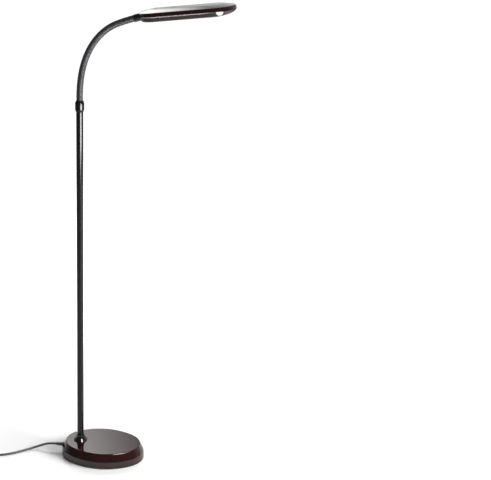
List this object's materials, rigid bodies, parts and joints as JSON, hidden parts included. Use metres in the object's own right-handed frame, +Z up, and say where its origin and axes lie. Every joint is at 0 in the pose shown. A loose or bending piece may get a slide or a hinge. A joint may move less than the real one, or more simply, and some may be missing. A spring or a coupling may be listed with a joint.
{
  "type": "gooseneck floor lamp",
  "caption": "Floor lamp with a flat oval foot, a straight round pole, a ribbed bending neck and a slim lit head with a push switch underneath.",
  "frame": {"origin": "centre of the foot's underside, on the floor", "axes": "+X along the foot's long side, the way the neck bends and the head points; +Z up; +Y to the left when looking along +X"},
  "size_m": [0.8188, 0.174, 1.3546],
  "materials": {
    "foot_gloss": "high gloss, very dark brown",
    "pole_paint": "gloss baked paint, very dark brown",
    "collar_gloss": "high gloss",
    "neck_black": "satin black, fine round ribs",
    "head_brown": "high gloss, walnut brown",
    "bezel_black": "gloss black",
    "boss_black": "gloss black",
    "opal": "milky white, lit from behind",
    "button_gold": "polished rings",
    "switch_black": "moulded",
    "plain_steel": "zinc plated",
    "ballast_iron": "as cast",
    "pad_rubber": "matt foam rubber",
    "driver_case": "moulded, white",
    "board_aluminium": "white solder mask",
    "board_green": "lacquered",
    "led_yellow": "phosphor",
    "cord_black": "satin sheath",
    "tie_fabric": "woven strap",
    "plug_black": "moulded, satin",
    "blade_brass": "bright"
  },
  "bodies": {
    "stand": {"base_cover": "foot_gloss", "base_plate": "plain_steel", "base_pad": "pad_rubber", "base_ballast": "ballast_iron", "base_screws": "plain_steel", "led_driver": "driver_case", "pole_socket": "plain_steel", "socket_screws": "plain_steel", "pole_collar": "collar_gloss", "pole_lower": "pole_paint", "pole_middle": "pole_paint", "pole_upper": "pole_paint", "pole_coupler_lower": "plain_steel", "pole_coupler_upper": "plain_steel", "neck_ferrule": "pole_paint", "supply_lead": "cord_black", "mains_lead": "cord_black", "cord_gland": "cord_black", "power_cord": "cord_black", "power_cord_coil": "cord_black", "cord_tie": "tie_fabric", "plug_body": "plug_black", "plug_blades": "blade_brass", "neck_link_01": "neck_black"},
    "neck_02": {"neck_link_02": "neck_black"},
    "neck_03": {"neck_link_03": "neck_black"},
    "neck_04": {"neck_link_04": "neck_black"},
    "neck_05": {"neck_link_05": "neck_black"},
    "neck_06": {"neck_link_06": "neck_black"},
    "neck_07": {"neck_link_07": "neck_black"},
    "neck_08": {"neck_link_08": "neck_black"},
    "neck_09": {"neck_link_09": "neck_black"},
    "neck_10": {"neck_link_10": "neck_black"},
    "neck_11": {"neck_link_11": "neck_black"},
    "neck_12": {"neck_link_12": "neck_black"},
    "neck_13": {"neck_link_13": "neck_black"},
    "neck_14": {"neck_link_14": "neck_black"},
    "neck_15": {"neck_link_15": "neck_black"},
    "neck_16": {"neck_link_16": "neck_black"},
    "neck_17": {"neck_link_17": "neck_black"},
    "neck_18": {"neck_link_18": "neck_black"},
    "head": {"neck_link_19": "neck_black", "head_top_shell": "head_brown", "head_bezel": "bezel_black", "diffuser": "opal", "led_board": "board_aluminium", "led_chips": "led_yellow", "board_screws": "plain_steel", "neck_boss": "boss_black", "neck_stud": "plain_steel", "neck_nut": "plain_steel", "boss_screws": "plain_steel", "switch_body": "switch_black", "switch_board": "board_green"},
    "button": {"switch_button": "button_gold", "switch_plunger": "switch_black"}
  },
  "joints": [
    {"name": "gooseneck_lower_bend", "type": "hinge", "parent": "stand", "child": "neck_02", "pos_m": [-0.069, 0, 1.094], "axis": [0, 1, 0], "range_deg": [-8, 4.5]},
    {"name": "gooseneck_lower_sway", "type": "hinge", "parent": "neck_02", "child": "neck_03", "pos_m": [-0.06849, 0, 1.11019], "axis": [-0.9987, 0, 0.0505], "range_deg": [-7, 7]},
    {"name": "gooseneck_lower_bend_2", "type": "hinge", "parent": "neck_03", "child": "neck_04", "pos_m": [-0.06736, 0, 1.12635], "axis": [0, 1, 0], "range_deg": [-8, 4.5]},
    {"name": "gooseneck_lower_bend_3", "type": "hinge", "parent": "neck_04", "child": "neck_05", "pos_m": [-0.06551, 0, 1.14245], "axis": [0, 1, 0], "range_deg": [-8, 4.5]},
    {"name": "gooseneck_lower_sway_2", "type": "hinge", "parent": "neck_05", "child": "neck_06", "pos_m": [-0.06283, 0, 1.15842], "axis": [-0.9809, 0, 0.1946], "range_deg": [-7, 7]},
    {"name": "gooseneck_lower_bend_4", "type": "hinge", "parent": "neck_06", "child": "neck_07", "pos_m": [-0.05921, 0, 1.17421], "axis": [0, 1, 0], "range_deg": [-8, 4.5]},
    {"name": "gooseneck_lower_bend_5", "type": "hinge", "parent": "neck_07", "child": "neck_08", "pos_m": [-0.05457, 0, 1.18973], "axis": [0, 1, 0], "range_deg": [-8, 4.5]},
    {"name": "gooseneck_lower_sway_3", "type": "hinge", "parent": "neck_08", "child": "neck_09", "pos_m": [-0.04882, 0, 1.20488], "axis": [-0.9201, 0, 0.3916], "range_deg": [-7, 7]},
    {"name": "gooseneck_lower_bend_6", "type": "hinge", "parent": "neck_09", "child": "neck_10", "pos_m": [-0.04189, 0, 1.21952], "axis": [0, 1, 0], "range_deg": [-8, 4.5]},
    {"name": "gooseneck_upper_bend", "type": "hinge", "parent": "neck_10", "child": "neck_11", "pos_m": [-0.03373, 0, 1.23352], "axis": [0, 1, 0], "range_deg": [-9, 2]},
    {"name": "gooseneck_upper_sway", "type": "hinge", "parent": "neck_11", "child": "neck_12", "pos_m": [-0.02431, 0, 1.2467], "axis": [-0.7837, 0, 0.6211], "range_deg": [-7, 7]},
    {"name": "gooseneck_upper_bend_2", "type": "hinge", "parent": "neck_12", "child": "neck_13", "pos_m": [-0.01363, 0, 1.25888], "axis": [0, 1, 0], "range_deg": [-9, 2]},
    {"name": "gooseneck_upper_bend_3", "type": "hinge", "parent": "neck_13", "child": "neck_14", "pos_m": [-0.00172, 0, 1.26986], "axis": [0, 1, 0], "range_deg": [-9, 2]},
    {"name": "gooseneck_upper_sway_2", "type": "hinge", "parent": "neck_14", "child": "neck_15", "pos_m": [0.01136, 0, 1.27942], "axis": [-0.5409, 0, 0.8411], "range_deg": [-7, 7]},
    {"name": "gooseneck_upper_bend_4", "type": "hinge", "parent": "neck_15", "child": "neck_16", "pos_m": [0.02549, 0, 1.28735], "axis": [0, 1, 0], "range_deg": [-9, 2]},
    {"name": "gooseneck_upper_bend_5", "type": "hinge", "parent": "neck_16", "child": "neck_17", "pos_m": [0.0405, 0, 1.29343], "axis": [0, 1, 0], "range_deg": [-9, 2]},
    {"name": "gooseneck_upper_sway_3", "type": "hinge", "parent": "neck_17", "child": "neck_18", "pos_m": [0.0557, 0, 1.29904], "axis": [-0.3317, 0, 0.9434], "range_deg": [-7, 7]},
    {"name": "gooseneck_upper_bend_6", "type": "hinge", "parent": "neck_18", "child": "head", "pos_m": [0.07106, 0, 1.30418], "axis": [0, 1, 0], "range_deg": [-9, 2]},
    {"name": "switch_press", "type": "slide", "parent": "head", "child": "button", "axis": [-0.1236, 0, 0.9923], "range_m": [0, 0.001], "stiffness_N_per_m": 1500, "springref_m": -0.001}
  ],
  "couplings": [
    {"joint": "gooseneck_lower_bend_2", "follows": "gooseneck_lower_bend", "ratio": 1},
    {"joint": "gooseneck_lower_bend_3", "follows": "gooseneck_lower_bend", "ratio": 1},
    {"joint": "gooseneck_lower_sway_2", "follows": "gooseneck_lower_sway", "ratio": 1},
    {"joint": "gooseneck_lower_bend_4", "follows": "gooseneck_lower_bend", "ratio": 1},
    {"joint": "gooseneck_lower_bend_5", "follows": "gooseneck_lower_bend", "ratio": 1},
    {"joint": "gooseneck_lower_sway_3", "follows": "gooseneck_lower_sway", "ratio": 1},
    {"joint": "gooseneck_lower_bend_6", "follows": "gooseneck_lower_bend", "ratio": 1},
    {"joint": "gooseneck_upper_bend_2", "follows": "gooseneck_upper_bend", "ratio": 1},
    {"joint": "gooseneck_upper_bend_3", "follows": "gooseneck_upper_bend", "ratio": 1},
    {"joint": "gooseneck_upper_sway_2", "follows": "gooseneck_upper_sway", "ratio": 1},
    {"joint": "gooseneck_upper_bend_4", "follows": "gooseneck_upper_bend", "ratio": 1},
    {"joint": "gooseneck_upper_bend_5", "follows": "gooseneck_upper_bend", "ratio": 1},
    {"joint": "gooseneck_upper_sway_3", "follows": "gooseneck_upper_sway", "ratio": 1},
    {"joint": "gooseneck_upper_bend_6", "follows": "gooseneck_upper_bend", "ratio": 1}
  ]
}
